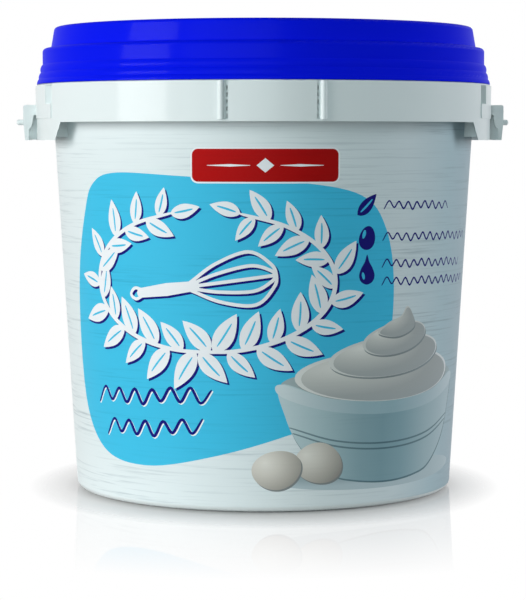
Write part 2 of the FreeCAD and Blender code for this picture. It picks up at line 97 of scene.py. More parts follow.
def moulded_polypropylene(name, tone, tone_thick, sheen_level, coat):
    """Moulded polypropylene: satin, with a faint orange peel and a slow drift of tone."""
    material, tree, surface = new_material(name)
    place = add(tree, "ShaderNodeTexCoord").outputs["Object"]
    drift = add(tree, "ShaderNodeTexNoise", inputs={
        "Vector": place, "Scale": 1 / (TONE_DRIFT * MM), "Detail": 2.0, "Roughness": 0.5})
    mixed = add(tree, "ShaderNodeMix", {"data_type": "RGBA"}, {
        "Factor": drift.outputs["Fac"], "A": linear(tone), "B": linear(tone_thick)})
    # The real grain is near 0.1 mm, too fine to show, so it is drawn at about 0.6 mm.
    grain = add(tree, "ShaderNodeTexNoise", inputs={
        "Vector": place, "Scale": 1 / (GRAIN_SIZE * MM), "Detail": 1.0, "Roughness": 0.5})
    relief = add(tree, "ShaderNodeBump", inputs={
        "Height": grain.outputs["Fac"], "Strength": GRAIN_STRENGTH,
        "Distance": GRAIN_HEIGHT * MM})
    patchy = add(tree, "ShaderNodeMapRange", inputs={
        "Value": drift.outputs["Fac"], "To Min": SKIN_ROUGHNESS - SKIN_PATCHES,
        "To Max": SKIN_ROUGHNESS + SKIN_PATCHES})
    shader = add(tree, "ShaderNodeBsdfPrincipled", inputs={
        "Base Color": mixed.outputs["Result"], "Roughness": patchy.outputs["Result"],
        "IOR": POLYPROPYLENE_IOR, "Specular IOR Level": sheen_level,
        "Coat Weight": coat, "Coat Roughness": COAT_ROUGHNESS, "Coat IOR": POLYPROPYLENE_IOR,
        "Normal": relief.outputs["Normal"]})
    tree.links.new(shader.outputs["BSDF"], surface)
    return material


def finish_node(node, material):
    """Gives a CAD node its one material."""
    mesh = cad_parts[node].data
    mesh.materials.clear()
    mesh.materials.append(material)


pail_plastic = moulded_polypropylene(
    "white_polypropylene_spark_finish", PAIL_WHITE, PAIL_WHITE_THICK, sheen_level=0.12, coat=0.3)
finish_node("pail", pail_plastic)


# ---- the lid ----
# A thinner moulding in blue polypropylene that snaps over the pail's rim. Its strong pigment
# keeps the colour deep, and the satin skin shows the light as one soft, broad streak.

LID_BLUE = "#0318F0"
LID_BLUE_THICK = "#0214E8"

lid_plastic = moulded_polypropylene(
    "blue_polypropylene_satin_tool", LID_BLUE, LID_BLUE_THICK, sheen_level=0.01, coat=0.05)
finish_node("lid", lid_plastic)


# ---- the printed wrap ----
# A film that is laid in the mould and fused to the wall, so it is nearly flush. It wraps all
# round and its two ends meet behind. Its print is a generic one: a white-washed board ground,
# a blue field with a wreath round a whisk, a red plate, small signs, a bowl and two eggs.

# The wall that it lies on, in millimetres.
FOOT_RADIUS = 86.7
WALL_DRAFT = math.radians(3.41)
FOOT_ROUND = 3.5
ROUND_TOP = FOOT_ROUND * (1 + math.sin(WALL_DRAFT))
MID_RADIUS = 92.0
# The film, in millimetres: its lower and upper edge, how far its face stands off the wall, its
# thickness, and the gap where its ends meet.
WRAP_FOOT = 2.3
WRAP_TOP = 169.4
WRAP_LIFT = 0.12
WRAP_DEPTH = 0.22
SEAM_GAP = 0.5
# Its mesh, in millimetres: the plain grid, how near that comes to an outline, and the runs that
# an outline is cut in.
GRID_STEP = 2.5
GRID_CLEAR = 0.8
EDGE_STEP = 2.0
CUT_EDGE_ANGLE = math.radians(40)


def wall_radius(height):
    """Outside of the tapered wall, and of the round at its foot, in millimetres."""
    straight = FOOT_RADIUS + height * math.tan(WALL_DRAFT)
    middle = (FOOT_RADIUS + ROUND_TOP * math.tan(WALL_DRAFT)) - FOOT_ROUND * math.cos(WALL_DRAFT)
    above = np.minimum(height, ROUND_TOP) - FOOT_ROUND
    return np.where(height < ROUND_TOP, middle + np.sqrt(FOOT_ROUND ** 2 - above ** 2), straight)


def turned(points, degrees):
    """The points, turned about the origin."""
    c, s = math.cos(math.radians(degrees)), math.sin(math.radians(degrees))
    return np.asarray(points, float) @ np.array([[c, s], [-s, c]])


def smooth(points, closed=False, steps=8):
    """A curve through the points, as short runs."""
    points = [np.array(p, float) for p in points]
    if closed:
        padded = [points[-1], *points, points[0], points[1]]
    else:
        padded = [2 * points[0] - points[1], *points, 2 * points[-1] - points[-2]]
    line = []
    for before, start, end, after in zip(padded, padded[1:], padded[2:], padded[3:]):
        for step in range(steps):
            t = step / steps
            line.append(0.5 * (2 * start + (end - before) * t
                               + (2 * before - 5 * start + 4 * end - after) * t ** 2
                               + (3 * start - before - 3 * end + after) * t ** 3))
    if not closed:
        line.append(points[-1])
    return np.array(line)


def stroke(line, width, tip=0.5):
    """The outline of a brush stroke along a line. Its ends are tip times as wide, and round."""
    line = np.asarray(line, float)
    along = np.gradient(line, axis=0)
    along /= np.linalg.norm(along, axis=1)[:, None]
    across = np.column_stack([-along[:, 1], along[:, 0]])
    share = np.linspace(0, 1, len(line))
    half = width / 2 * (tip + (1 - tip) * np.sin(np.pi * share) ** 0.35)
    cap = np.linspace(0, np.pi, 7)[1:-1]
    far = [line[-1] + half[-1] * (np.cos(a) * across[-1] + np.sin(a) * along[-1]) for a in cap]
    near = [line[0] - half[0] * (np.cos(a) * across[0] + np.sin(a) * along[0]) for a in cap]
    left = line + across * half[:, None]
    right = line - across * half[:, None]
    return np.vstack([left, far, right[::-1], near])


def wavy(start, end, swing, turns):
    """A hand-drawn wavy line from one place to another."""
    start, end = np.array(start, float), np.array(end, float)
    points = []
    for turn in range(turns + 1):
        uneven = 1 + 0.2 * math.sin(2.3 * turn) + 0.12 * math.cos(5.1 * turn)
        side = 1 if turn % 2 else -1
        points.append(start + (end - start) * turn / turns + np.array([0, side * swing * uneven]))
    return smooth(points, steps=8)


# Widths of the brush in millimetres, and the lean of a leaf from its stem in degrees.
STEM_WIDTH = 2.0
VEIN_WIDTH = 0.9
HANDLE_WIDTH = 5.6
HANGER_WIDTH = 1.4
WIRE_WIDTH = 1.5
LEAF_SPREAD = 52
LEAF_SWAY = 7
TIP_SPREAD = 8


def leaf(foot, lean, length, width):
    """A pointed leaf that grows from its foot at an angle in degrees, and its middle vein."""
    share = np.linspace(0, 1, 13)
    half = width / 2 * np.sin(np.pi * share ** 0.8) ** 0.9
    bend = 0.10 * length * share ** 2
    upper = np.column_stack([share * length, bend + half])
    lower = np.column_stack([share * length, bend - half])[-2:0:-1]
    vein = np.column_stack([share * length, bend])[2:10]
    outline = turned(np.vstack([upper, lower]), lean) + foot
    return outline, stroke(turned(vein, lean) + foot, VEIN_WIDTH)


def sprig(points, pairs, length, width):
    """A herb sprig: a stem with leaves to both sides that get smaller to its tip."""
    stem = smooth(points, steps=14)
    run = np.insert(np.cumsum(np.linalg.norm(np.diff(stem, axis=0), axis=1)), 0, 0)
    outlines, veins = [stroke(stem, STEM_WIDTH, tip=0.4)], []
    for number in range(2 * pairs + 1):
        share = 0.04 + 0.96 * number / (2 * pairs)
        foot = np.array([np.interp(share * run[-1], run, stem[:, n]) for n in (0, 1)])
        ahead = np.array([np.interp((share - 0.02) * run[-1], run, stem[:, n]) for n in (0, 1)])
        heading = math.degrees(math.atan2(*(foot - ahead)[::-1]))
        side = 1 if number % 2 else -1
        spread = LEAF_SPREAD + LEAF_SWAY * math.sin(3.1 * number)
        spread = TIP_SPREAD if number == 2 * pairs else spread
        size = (1 + 0.10 * math.sin(2.2 * number)) * (1 - 0.25 * share)
        outline, vein = leaf(foot, heading + side * spread, length * size, width * size)
        outlines.append(outline)
        veins.append(vein)
    return outlines, veins


def whisk(foot, lean, handle, wires):
    """A balloon whisk: its handle with a hanging loop, its middle wire and two loops of wire."""
    hanger = smooth([(1, 1.2), (-3, 2.4), (-5.5, 0), (-3, -2.4), (1, -1.2)])
    middle = [(handle, 0), (handle + wires / 2, 0), (handle + wires, 0)]
    shapes = [stroke([(0, 0), (handle / 2, 0), (handle, 0)], HANDLE_WIDTH, tip=0.75),
              stroke(hanger, HANGER_WIDTH, tip=1.0), stroke(middle, WIRE_WIDTH, tip=1.0)]
    for bulge, further in ((5.5, 0.0), (11.5, 0.6)):
        reach = wires + further
        half = [(handle - 2, 0.15 * bulge), (handle + 0.3 * wires, 0.72 * bulge),
                (handle + 0.72 * wires, bulge), (handle + 0.95 * reach, 0.45 * bulge)]
        loop = half + [(handle + reach, 0)] + [(x, -z) for x, z in half[::-1]]
        shapes.append(stroke(smooth(loop, steps=7), WIRE_WIDTH, tip=1.0))
    return [turned(shape, lean) + foot for shape in shapes]


def rounded_plate(low, high, radius):
    """A rectangle with round corners."""
    outline = []
    for corner, (x, z) in enumerate([(1, 1), (0, 1), (0, 0), (1, 0)]):
        centre = [(high[0] - radius) if x else (low[0] + radius),
                  (high[1] - radius) if z else (low[1] + radius)]
        for step in range(7):
            angle = math.radians(90 * (corner + step / 6))
            outline.append([centre[0] + radius * math.cos(angle),
                            centre[1] + radius * math.sin(angle)])
    return np.array(outline)


def oval(centre, wide, tall, turn=0.0, point=0.0):
    """An oval, turned by degrees; point makes its top narrower, as an egg's is."""
    angles = np.linspace(0, 2 * np.pi, 49)[:-1]
    across = wide * np.cos(angles) * (1 - point * np.sin(angles))
    return turned(np.column_stack([across, tall * np.sin(angles)]), turn) + centre


# Every place on the print is in millimetres round the wall from its front middle, and up from
# the floor. A wavy line has its two ends and its count of turns.
BLUE_FIELD = smooth([
    (-97, 129), (-104.5, 101), (-105, 66), (-99, 39), (-83, 22.5), (-57, 18.5), (-26, 24),
    (8, 34), (40, 46), (54, 67), (57.5, 97), (53, 122), (40, 137), (8, 143), (-34, 145),
    (-74, 146.5), (-90, 141.5)], closed=True)
WREATH_MIDDLE = np.array([-29.0, 100.0])
WREATH_REACH = np.array([57.0, 30.5])
INK_SHIFT = np.array([1.0, -0.9])
PLATE_LOW = np.array([-34.5, 142.9])
PLATE_HIGH = np.array([29.0, 156.9])
PLATE_ROUND = 2.6
PLATE_EDGE = 0.7
LONG_LINES = [((-88, 48), (-26, 51), 13), ((-82, 34), (-30, 37), 11)]
LONG_SWING = 3.0
LONG_WIDTH = 1.5
SHORT_LINES = [((51.5, 132.7), (95.5, 132.0), 16), ((51.0, 119.0), (121.0, 117.8), 26),
               ((50.8, 107.4), (112.0, 106.2), 23), ((50.8, 99.6), (121.0, 98.2), 26)]
SHORT_SWING = 1.5
SHORT_WIDTH = 0.85
LEAF_PAIRS = 10
LEAF_LENGTH = 18.5
LEAF_WIDTH = 8.4


def wreath_half(side):
    """One half of the wreath, from the foot, round that side and up towards its top."""
    angles = np.radians(np.linspace(-98, 74, 9))
    path = WREATH_MIDDLE + WREATH_REACH * np.column_stack([side * np.cos(angles), np.sin(angles)])
    return sprig(list(path), LEAF_PAIRS, LEAF_LENGTH, LEAF_WIDTH)


left_leaves, left_veins = wreath_half(-1)
right_leaves, right_veins = wreath_half(1)
leaves, veins = left_leaves + right_leaves, left_veins + right_veins
whisk_shapes = whisk((-60.0, 94.5), lean=8, handle=27.0, wires=35.0)
long_rows = [stroke(wavy(start, end, LONG_SWING, turns), LONG_WIDTH)
             for start, end, turns in LONG_LINES]
short_rows = [stroke(wavy(start, end, SHORT_SWING, turns), SHORT_WIDTH)
              for start, end, turns in SHORT_LINES]

leaf_sign, leaf_sign_vein = leaf((38.0, 128.5), lean=38, length=13.0, width=5.6)
egg_sign = oval((43.0, 118.6), 4.0, 5.2, turn=-12, point=0.12)
drop_sign = smooth([
    (43, 111.4), (44.1, 108.4), (46, 105.2), (46.9, 102.2), (45.8, 99.6), (43, 98.4),
    (40.2, 99.6), (39.1, 102.2), (40, 105.2), (41.9, 108.4)], closed=True)
sign_glints = [leaf_sign_vein, oval((41.4, 120.2), 0.8, 1.9, turn=-16),
               oval((41.2, 102.2), 0.7, 1.6, turn=12)]

plate_middle = (PLATE_LOW + PLATE_HIGH) / 2
lozenge = plate_middle + 3.1 * np.array([(1.2, 0), (0, 1), (-1.2, 0), (0, -1)])
rules = [stroke(plate_middle + [(side * along, 0) for along in (6.5, 15, 25)], 1.1, tip=0.2)
         for side in (-1, 1)]

# The bowl's middle, and how far the dark edge of each shape shows below it and to its right.
BOWL_MIDDLE = 55.0
BOWL_EDGE = np.array([0.3, -0.8])
CREAM_EDGE = np.array([0.5, -0.8])
EGG_EDGE = np.array([0.6, -0.7])
CREAM_TOP = 0.95
CREAM_TOP_SHIFT = np.array([0.6, -0.3])
bowl_mouth = [(106, 56), (84, 49.5), (55, 47), (26, 49.5)]
bowl = smooth([(4, 56), (6, 42), (13, 28), (26, 16.5), (38, 13), (55, 11.6), (72, 13),
               (84, 16.5), (97, 28), (104, 42), *bowl_mouth], closed=True)
bowl_rim = smooth([(4, 56), (4.6, 50.5), (26, 43.8), (55, 41.4), (84, 43.8), (105.4, 50.5),
                   *bowl_mouth], closed=True)
bowl_bands = [stroke(smooth([(BOWL_MIDDLE - wide, up + 8.6), (BOWL_MIDDLE - 0.55 * wide, up + 2.2),
                             (BOWL_MIDDLE, up), (BOWL_MIDDLE + 0.55 * wide, up + 2.2),
                             (BOWL_MIDDLE + wide, up + 8.6)]), 0.8, tip=0.6)
              for wide, up in ((47.0, 28.5), (45.6, 26.0))]
bowl_inside = oval((BOWL_MIDDLE, 55.5), 51, 8.0)
bowl_shadow = oval((BOWL_MIDDLE - 3, 14.6), 56, 6.0)
cream_lobes = [
    oval((55, 58.5), 45, 11.5), oval((57, 67), 32, 9.0, turn=4),
    oval((60, 74.5), 19, 7.0, turn=8),
    smooth([(49, 77), (55, 81.5), (62, 84), (65.5, 88), (68.5, 86), (70.5, 79), (60, 75)],
           closed=True)]
eggs = [oval((21, 21.5), 10.8, 8.9, turn=-12, point=0.1),
        oval((2.5, 18.5), 10.8, 8.5, turn=10, point=-0.1)]


def drawn_in(outline, share, shift):
    """The same outline, smaller about its own middle, and shifted."""
    middle = outline.mean(axis=0)
    return middle + (outline - middle) * share + shift


# Painted in this order: a later shape covers an earlier one.
print_shapes = [("blue_field", BLUE_FIELD)]
print_shapes += [("navy_ink", outline + INK_SHIFT) for outline in leaves + whisk_shapes]
print_shapes += [("white_ink", outline) for outline in leaves + whisk_shapes]
print_shapes += [("blue_field", vein) for vein in veins]
print_shapes += [("white_ink", row + 0.5 * INK_SHIFT) for row in long_rows]
print_shapes += [("navy_ink", row) for row in long_rows + short_rows]
print_shapes += [("navy_ink", sign) for sign in (leaf_sign, egg_sign, drop_sign)]
print_shapes += [("blue_field", glint) for glint in sign_glints]
print_shapes.append(("white_ink", rounded_plate(
    PLATE_LOW - PLATE_EDGE, PLATE_HIGH + PLATE_EDGE, PLATE_ROUND + PLATE_EDGE)))
print_shapes.append(("red_plate", rounded_plate(PLATE_LOW, PLATE_HIGH, PLATE_ROUND)))
print_shapes += [("white_ink", outline) for outline in [lozenge, *rules]]
print_shapes += [("shadow_1", bowl_shadow), ("bowl_line", bowl + BOWL_EDGE),
                 ("bowl_inside", bowl_inside)]
for number, lobe in enumerate(cream_lobes, 1):
    print_shapes.append(("cream_edge", lobe + CREAM_EDGE))
    print_shapes.append(("cream_light", lobe))
    print_shapes.append((f"cream_{number}", drawn_in(lobe, CREAM_TOP, CREAM_TOP_SHIFT)))
print_shapes += [("bowl_glaze", bowl), ("bowl_rim", bowl_rim)]
print_shapes += [("bowl_line", band) for band in bowl_bands]
for number, egg in enumerate(eggs, 1):
    print_shapes.append(("egg_edge", egg + EGG_EDGE))
    print_shapes.append((f"egg_{number}", egg))


def unrolled(outline):
    """Millimetres along the wall's own surface, to the flat sheet that the mesh is cut in."""
    finer = []
    for start, end in zip(outline, np.roll(outline, -1, axis=0)):
        steps = math.ceil(np.linalg.norm(end - start) / EDGE_STEP)
        finer += [start + (end - start) * step / steps for step in range(steps)]
    finer = np.array(finer)
    return np.column_stack([finer[:, 0] * MID_RADIUS / wall_radius(finer[:, 1]), finer[:, 1]])


def inside(outline, points):
    """Which points an outline goes round, counting its turns, so that crossings leave no hole."""
    turns = np.zeros(len(points), int)
    near = np.flatnonzero(np.all((points >= outline.min(0)) & (points <= outline.max(0)), axis=1))
    x, z = points[near, 0][:, None], points[near, 1][:, None]
    x0, z0 = outline[:, 0], outline[:, 1]
    x1, z1 = np.roll(x0, -1), np.roll(z0, -1)
    side = (x1 - x0) * (z - z0) - (x - x0) * (z1 - z0)
    up = (z0 <= z) & (z1 > z) & (side > 0)
    down = (z0 > z) & (z1 <= z) & (side < 0)
    turns[near] = up.sum(1) - down.sum(1)
    return turns != 0


def plain_grid(half, drawn):
    """The sheet's own grid, without the points inside it that a drawn point is too near."""
    columns = np.linspace(-half, half, round(2 * half / GRID_STEP) + 1)
    rows = np.linspace(ROUND_TOP, WRAP_TOP, round((WRAP_TOP - ROUND_TOP) / GRID_STEP) + 1)
    rows = [WRAP_FOOT, (WRAP_FOOT + ROUND_TOP) / 2, *rows]
    grid = np.array([(column, row) for row in rows for column in columns])
    inner = (abs(grid[:, 0]) < half) & (grid[:, 1] > WRAP_FOOT) & (grid[:, 1] < WRAP_TOP)
    keep = np.ones(len(grid), bool)
    cells = {}
    for number, (x, z) in enumerate(drawn):
        cells.setdefault((int(x // GRID_STEP), int(z // GRID_STEP)), []).append(number)
    for number in np.flatnonzero(inner):
        i, j = (int(at // GRID_STEP) for at in grid[number])
        close = [n for a in (-1, 0, 1) for b in (-1, 0, 1) for n in cells.get((i + a, j + b), [])]
        if close and np.min(np.hypot(*(drawn[close] - grid[number]).T)) < GRID_CLEAR:
            keep[number] = False
    return grid[keep]


def cut_sheet(shapes):
    """Cuts the flat sheet along every outline. Returns its points, triangles and their inks."""
    half = math.pi * MID_RADIUS - SEAM_GAP / 2
    outlines = [unrolled(outline) for _, outline in shapes]
    points = [Vector(p) for p in plain_grid(half, np.vstack(outlines))]
    edges = []
    for outline in outlines:
        first = len(points)
        points += [Vector(p) for p in outline]
        edges += [(first + n, first + (n + 1) % len(outline)) for n in range(len(outline))]
    flat, _, triangles, *_ = delaunay_2d_cdt(points, edges, [], 0, 1e-5)
    flat = np.array([tuple(p) for p in flat])
    triangles = np.array(triangles)
    middles = flat[triangles].mean(axis=1)
    inks = np.full(len(triangles), "board_ground", dtype=object)
    for (ink_name, _), outline in zip(shapes, outlines):
        inks[inside(outline, middles)] = ink_name
    return flat, triangles, inks


def on_wall(flat, lift):
    """Flat sheet points wrapped on the wall and lifted off it, in metres."""
    angle = flat[:, 0] / MID_RADIUS
    radius = wall_radius(flat[:, 1]) + lift
    return np.column_stack([radius * np.sin(angle), -radius * np.cos(angle), flat[:, 1]]) * MM


def wrap_mesh(name, shapes, materials):
    """The closed film: its printed face, its hidden back and its cut edges."""
    flat, triangles, inks = cut_sheet(shapes)
    front, back = on_wall(flat, WRAP_LIFT), on_wall(flat, WRAP_LIFT - WRAP_DEPTH)
    count = len(flat)
    sides = dict.fromkeys(side for a, b, c in triangles for side in ((a, b), (b, c), (c, a)))
    rim = [(a, b) for a, b in sides if (b, a) not in sides]
    faces = [tuple(t) for t in triangles] + [tuple(t[::-1] + count) for t in triangles]
    faces += [(b, a, a + count, b + count) for a, b in rim]
    mesh = bpy.data.meshes.new(name)
    mesh.from_pydata(np.vstack([front, back]).tolist(), [], [[int(i) for i in f] for f in faces])
    slots = list(materials)
    for material in materials.values():
        mesh.materials.append(material)
    numbers = [slots.index(ink) for ink in inks]
    numbers += numbers + [slots.index("board_ground")] * len(rim)
    mesh.polygons.foreach_set("material_index", numbers)
    mesh.shade_smooth()
    mesh.set_sharp_from_angle(angle=CUT_EDGE_ANGLE)
    piece = bpy.data.objects.new(name, mesh)
    bpy.context.scene.collection.objects.link(piece)
    return piece


def wall_place(tree):
    """Where a point is on the unrolled wall: metres round it, and metres up."""
    place = add(tree, "ShaderNodeTexCoord").outputs["Object"]
    split = add(tree, "ShaderNodeSeparateXYZ", inputs={"Vector": place})
    forward = add(tree, "ShaderNodeMath", {"operation": "MULTIPLY"}, {
        0: split.outputs["Y"], 1: -1.0})
    angle = add(tree, "ShaderNodeMath", {"operation": "ARCTAN2"}, {
        0: split.outputs["X"], 1: forward.outputs["Value"]})
    round_wall = add(tree, "ShaderNodeMath", {"operation": "MULTIPLY"}, {
        0: angle.outputs["Value"], 1: MID_RADIUS * MM})
    joined = add(tree, "ShaderNodeCombineXYZ", inputs={
        "X": round_wall.outputs["Value"], "Y": split.outputs["Z"]})
    return joined.outputs["Vector"]


# In millimetres: the length and height of a streak of board grain, and of a patch of streaks.
STREAK_LENGTH = 47.6
STREAK_HEIGHT = 1.22
PATCH_LENGTH = 111.0
PATCH_HEIGHT = 14.3
# The noise levels between which a streak, and a patch, comes up to its full strength.
STREAK_LEVELS = (0.52, 0.78)
PATCH_LEVELS = (0.36, 0.62)
RIPPLE_STRENGTH = 0.02
RIPPLE_HEIGHT = 1.0
FILM_ROUGHNESS = 0.42
INK_GRAIN = "#C4CDD0"


def printed_film(name, tones, grain_tone=INK_GRAIN, grain=0.15, dome=None):
    """Ink under a clear film: an even satin, a little smoother than the bare plastic, with board
    grain printed in fine streaks.

    The tones are pairs of millimetres round the wall and the ink's colour there. With a dome,
    which is its lightest point and its reach on the wall, they are pairs of a share of the
    reach and the colour there, so that the ink looks rounded.
    """
    material, tree, surface = new_material(name)
    place = wall_place(tree)
    if dome:
        (light_x, light_z), (reach_x, reach_z) = dome
        near_light = add(tree, "ShaderNodeMapping", inputs={
            "Vector": place, "Location": (-light_x / reach_x, -light_z / reach_z, 0),
            "Scale": (1 / (reach_x * MM), 1 / (reach_z * MM), 0)})
        share = add(tree, "ShaderNodeVectorMath", {"operation": "LENGTH"}, {
            0: near_light.outputs["Vector"]}).outputs["Value"]
        marks = [at for at, tone in tones]
    else:
        half = math.pi * MID_RADIUS
        across = add(tree, "ShaderNodeSeparateXYZ", inputs={"Vector": place}).outputs["X"]
        share = add(tree, "ShaderNodeMapRange", inputs={
            "Value": across, "From Min": -half * MM, "From Max": half * MM}).outputs["Result"]
        marks = [0.5 + at / (2 * half) for at, tone in tones]
    ink = add(tree, "ShaderNodeValToRGB", inputs={"Fac": share})
    stops = ink.color_ramp.elements
    stops.remove(stops[1])
    stops[0].position = marks[0]
    stops[0].color = linear(tones[0][1])
    for at, (_, tone) in zip(marks[1:], tones[1:]):
        stops.new(at).color = linear(tone)
    runs = add(tree, "ShaderNodeMapping", inputs={
        "Vector": place, "Scale": (1 / (STREAK_LENGTH * MM), 1 / (STREAK_HEIGHT * MM), 1.0)})
    streaks = add(tree, "ShaderNodeTexNoise", inputs={
        "Vector": runs.outputs["Vector"], "Scale": 1.0, "Detail": 3.0, "Roughness": 0.62})
    darkest = add(tree, "ShaderNodeMapRange", inputs={
        "Value": streaks.outputs["Fac"], "From Min": STREAK_LEVELS[0],
        "From Max": STREAK_LEVELS[1]})
    areas = add(tree, "ShaderNodeMapping", inputs={
        "Vector": place, "Scale": (1 / (PATCH_LENGTH * MM), 1 / (PATCH_HEIGHT * MM), 1.0)})
    patches = add(tree, "ShaderNodeTexNoise", inputs={
        "Vector": areas.outputs["Vector"], "Scale": 1.0, "Detail": 2.0})
    where = add(tree, "ShaderNodeMapRange", inputs={
        "Value": patches.outputs["Fac"], "From Min": PATCH_LEVELS[0],
        "From Max": PATCH_LEVELS[1], "To Max": grain})
    depth = add(tree, "ShaderNodeMath", {"operation": "MULTIPLY"}, {
        0: darkest.outputs["Result"], 1: where.outputs["Result"]})
    mixed = add(tree, "ShaderNodeMix", {"data_type": "RGBA", "blend_type": "MULTIPLY"}, {
        "Factor": depth.outputs["Value"], "A": ink.outputs["Color"], "B": linear(grain_tone)})
    relief = add(tree, "ShaderNodeBump", inputs={
        "Height": patches.outputs["Fac"], "Strength": RIPPLE_STRENGTH,
        "Distance": RIPPLE_HEIGHT * MM})
    shader = add(tree, "ShaderNodeBsdfPrincipled", inputs={
        "Base Color": mixed.outputs["Result"], "Roughness": FILM_ROUGHNESS,
        "IOR": POLYPROPYLENE_IOR, "Specular IOR Level": 0.06, "Coat Weight": 0.08,
        "Coat Roughness": COAT_ROUGHNESS, "Coat IOR": POLYPROPYLENE_IOR,
        "Normal": relief.outputs["Normal"]})
    tree.links.new(shader.outputs["BSDF"], surface)
    return material


# Each ink: its tones round the wall, and the tone and strength of the grain that shows in it.
INKS = {
    # The board ground darkens from about 62 to 124 mm round the wall and pales again towards the
    # back: painted shade on the side turned from the key lamp.
    "board_ground": ([(14, "#E6EFF0"), (62, "#D9E4E7"), (92, "#B9CED5"), (124, "#98AEB8"),
                      (168, "#C2D0D5"), (215, "#E6EFF0")], "#A0ADB3", 0.75),
    "blue_field": ([(-60, "#42C2E8"), (40, "#44C2E8")], "#AEC6D0", 0.6),
    "white_ink": ([(0, "#F2F4F7")], "#E8E8E8", 0.2),
    "navy_ink": ([(-90, "#101078"), (110, "#0D0D6E")],),
    # The red plate darkens towards its right end: painted shade.
    "red_plate": ([(-34, "#B80202"), (29, "#A60202")], "#C8C8C8", 0.4),
    "bowl_inside": ([(5, "#A9B9BB"), (55, "#7F8F92"), (105, "#A9B9BD")],),
    "bowl_glaze": ([(6, "#C6D8DB"), (22, "#B2CACE"), (42, "#8DABB3"), (54, "#83A3AC"),
                    (66, "#8BAAB3"), (84, "#AAC0C6"), (102, "#B8CAD0")], INK_GRAIN, 0.2),
    "bowl_rim": ([(6, "#D5E1E3"), (42, "#A0BBC2"), (60, "#98B5BD"), (102, "#C6D4D9")],),
    "bowl_line": ([(10, "#7C959B"), (55, "#587680"), (100, "#7C939A")],),
    "cream_edge": ([(12, "#98A09F"), (58, "#858D8E"), (92, "#98A2A5")],),
    "cream_light": ([(12, "#E6E7E3"), (58, "#D2D3CE"), (92, "#E2E5E6")],),
    "egg_edge": ([(0, "#84898A")],),
}
# The bowl's shadow, the tiers of cream and the eggs are each shaded from one light point, which
# lies up and to the left of the shape's middle by these shares of its size.
DOME_LIGHT = (-0.24, 0.2)
DOME_REACH = 0.9
DOME_GRAIN = 0.12
DOMES = [
    ("shadow", [bowl_shadow], [(0, "#93A6AC"), (0.3, "#A1B3B8"), (0.56, "#BBCBD0")]),
    ("cream", cream_lobes, [(0, "#ECEBE5"), (0.3, "#CDCEC9"), (0.62, "#AEB2B1"), (1, "#A7AEB0")]),
    ("egg", eggs, [(0, "#EEEAE1"), (0.35, "#D9D4CA"), (0.7, "#B9B4AB"), (1, "#96938C")])]
for kind, outlines, tones in DOMES:
    for number, outline in enumerate(outlines, 1):
        middle, reach = outline.mean(axis=0), np.ptp(outline, axis=0)
        dome = (middle + reach * DOME_LIGHT, DOME_REACH * reach)
        INKS[f"{kind}_{number}"] = (tones, INK_GRAIN, DOME_GRAIN, dome)
inks = {ink: printed_film("printed_" + ink, *facts) for ink, facts in INKS.items()}
wrap = wrap_mesh("printed_wrap", print_shapes, inks)
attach(wrap, "root")


# ---- floor, light and camera ----
# The pail stands on a pale, slightly glossy table top, whose shine fades away from it. Four soft
# lamps light it: the key low on the left, a weak one in front, a narrow one a little behind on
# the right, and a low one behind for the back wall, which hardly reaches the table.

FLOOR_HALF = 2.0
floor_mesh = bpy.data.meshes.new("floor")
corners = [(-FLOOR_HALF, -FLOOR_HALF, 0), (FLOOR_HALF, -FLOOR_HALF, 0),
           (FLOOR_HALF, FLOOR_HALF, 0), (-FLOOR_HALF, FLOOR_HALF, 0)]
floor_mesh.from_pydata(corners, [], [(0, 1, 2, 3)])
floor = bpy.data.objects.new("floor", floor_mesh)
bpy.context.scene.collection.objects.link(floor)

# Where each change of the table top begins and ends, in metres from the pail's axis. The ring in
# which the shadow fades is an oval, narrower from side to side by the squeeze.
# The first pair bounds a darker tone painted on the table beside the foot as its contact shadow.
CONTACT_SHADOW_NEAR = 0.0855
CONTACT_SHADOW_FAR = 0.0935
SHADOW_NEAR = 0.086
SHADOW_FAR = 0.127
SHADOW_SQUEEZE = 1.16
GLOSS_NEAR = 0.130
GLOSS_FAR = 0.235
GLOSS_SHARE = 0.27
GLOSS_ROUGHNESS = 0.04
# The table top's tones: a contact shadow painted beside the foot, the matt tone further out in the
# shadow, and its tone as it lights the pail.
PAINTED_CONTACT_SHADOW = "#A8A6A6"
TABLE_IN_SHADOW = "#D2CDCB"
TABLE_FOR_BOUNCE = "#A5A19F"
PLAIN_WHITE = "#FFFFFF"


def seen_rays(tree):
    """One for a ray from the camera, off a gloss or through glass, and nought for any other."""
    rays = add(tree, "ShaderNodeLightPath")
    seen = add(tree, "ShaderNodeMath", {"operation": "ADD", "use_clamp": True}, {
        0: rays.outputs["Is Camera Ray"], 1: rays.outputs["Is Glossy Ray"]})
    seen_through = add(tree, "ShaderNodeMath", {"operation": "ADD", "use_clamp": True}, {
        0: seen.outputs["Value"], 1: rays.outputs["Is Transmission Ray"]})
    return seen_through.outputs["Value"]


floor_finish, tree, surface = new_material("pale_lacquered_table_top")
seen = seen_rays(tree)
place = add(tree, "ShaderNodeTexCoord").outputs["Object"]
squeezed = add(tree, "ShaderNodeMapping", inputs={
    "Vector": place, "Scale": (SHADOW_SQUEEZE, 1.0, 1.0)})
reach = add(tree, "ShaderNodeVectorMath", {"operation": "LENGTH"}, {
    0: squeezed.outputs["Vector"]}).outputs["Value"]
round_reach = add(tree, "ShaderNodeVectorMath", {"operation": "LENGTH"}, {
    0: place}).outputs["Value"]
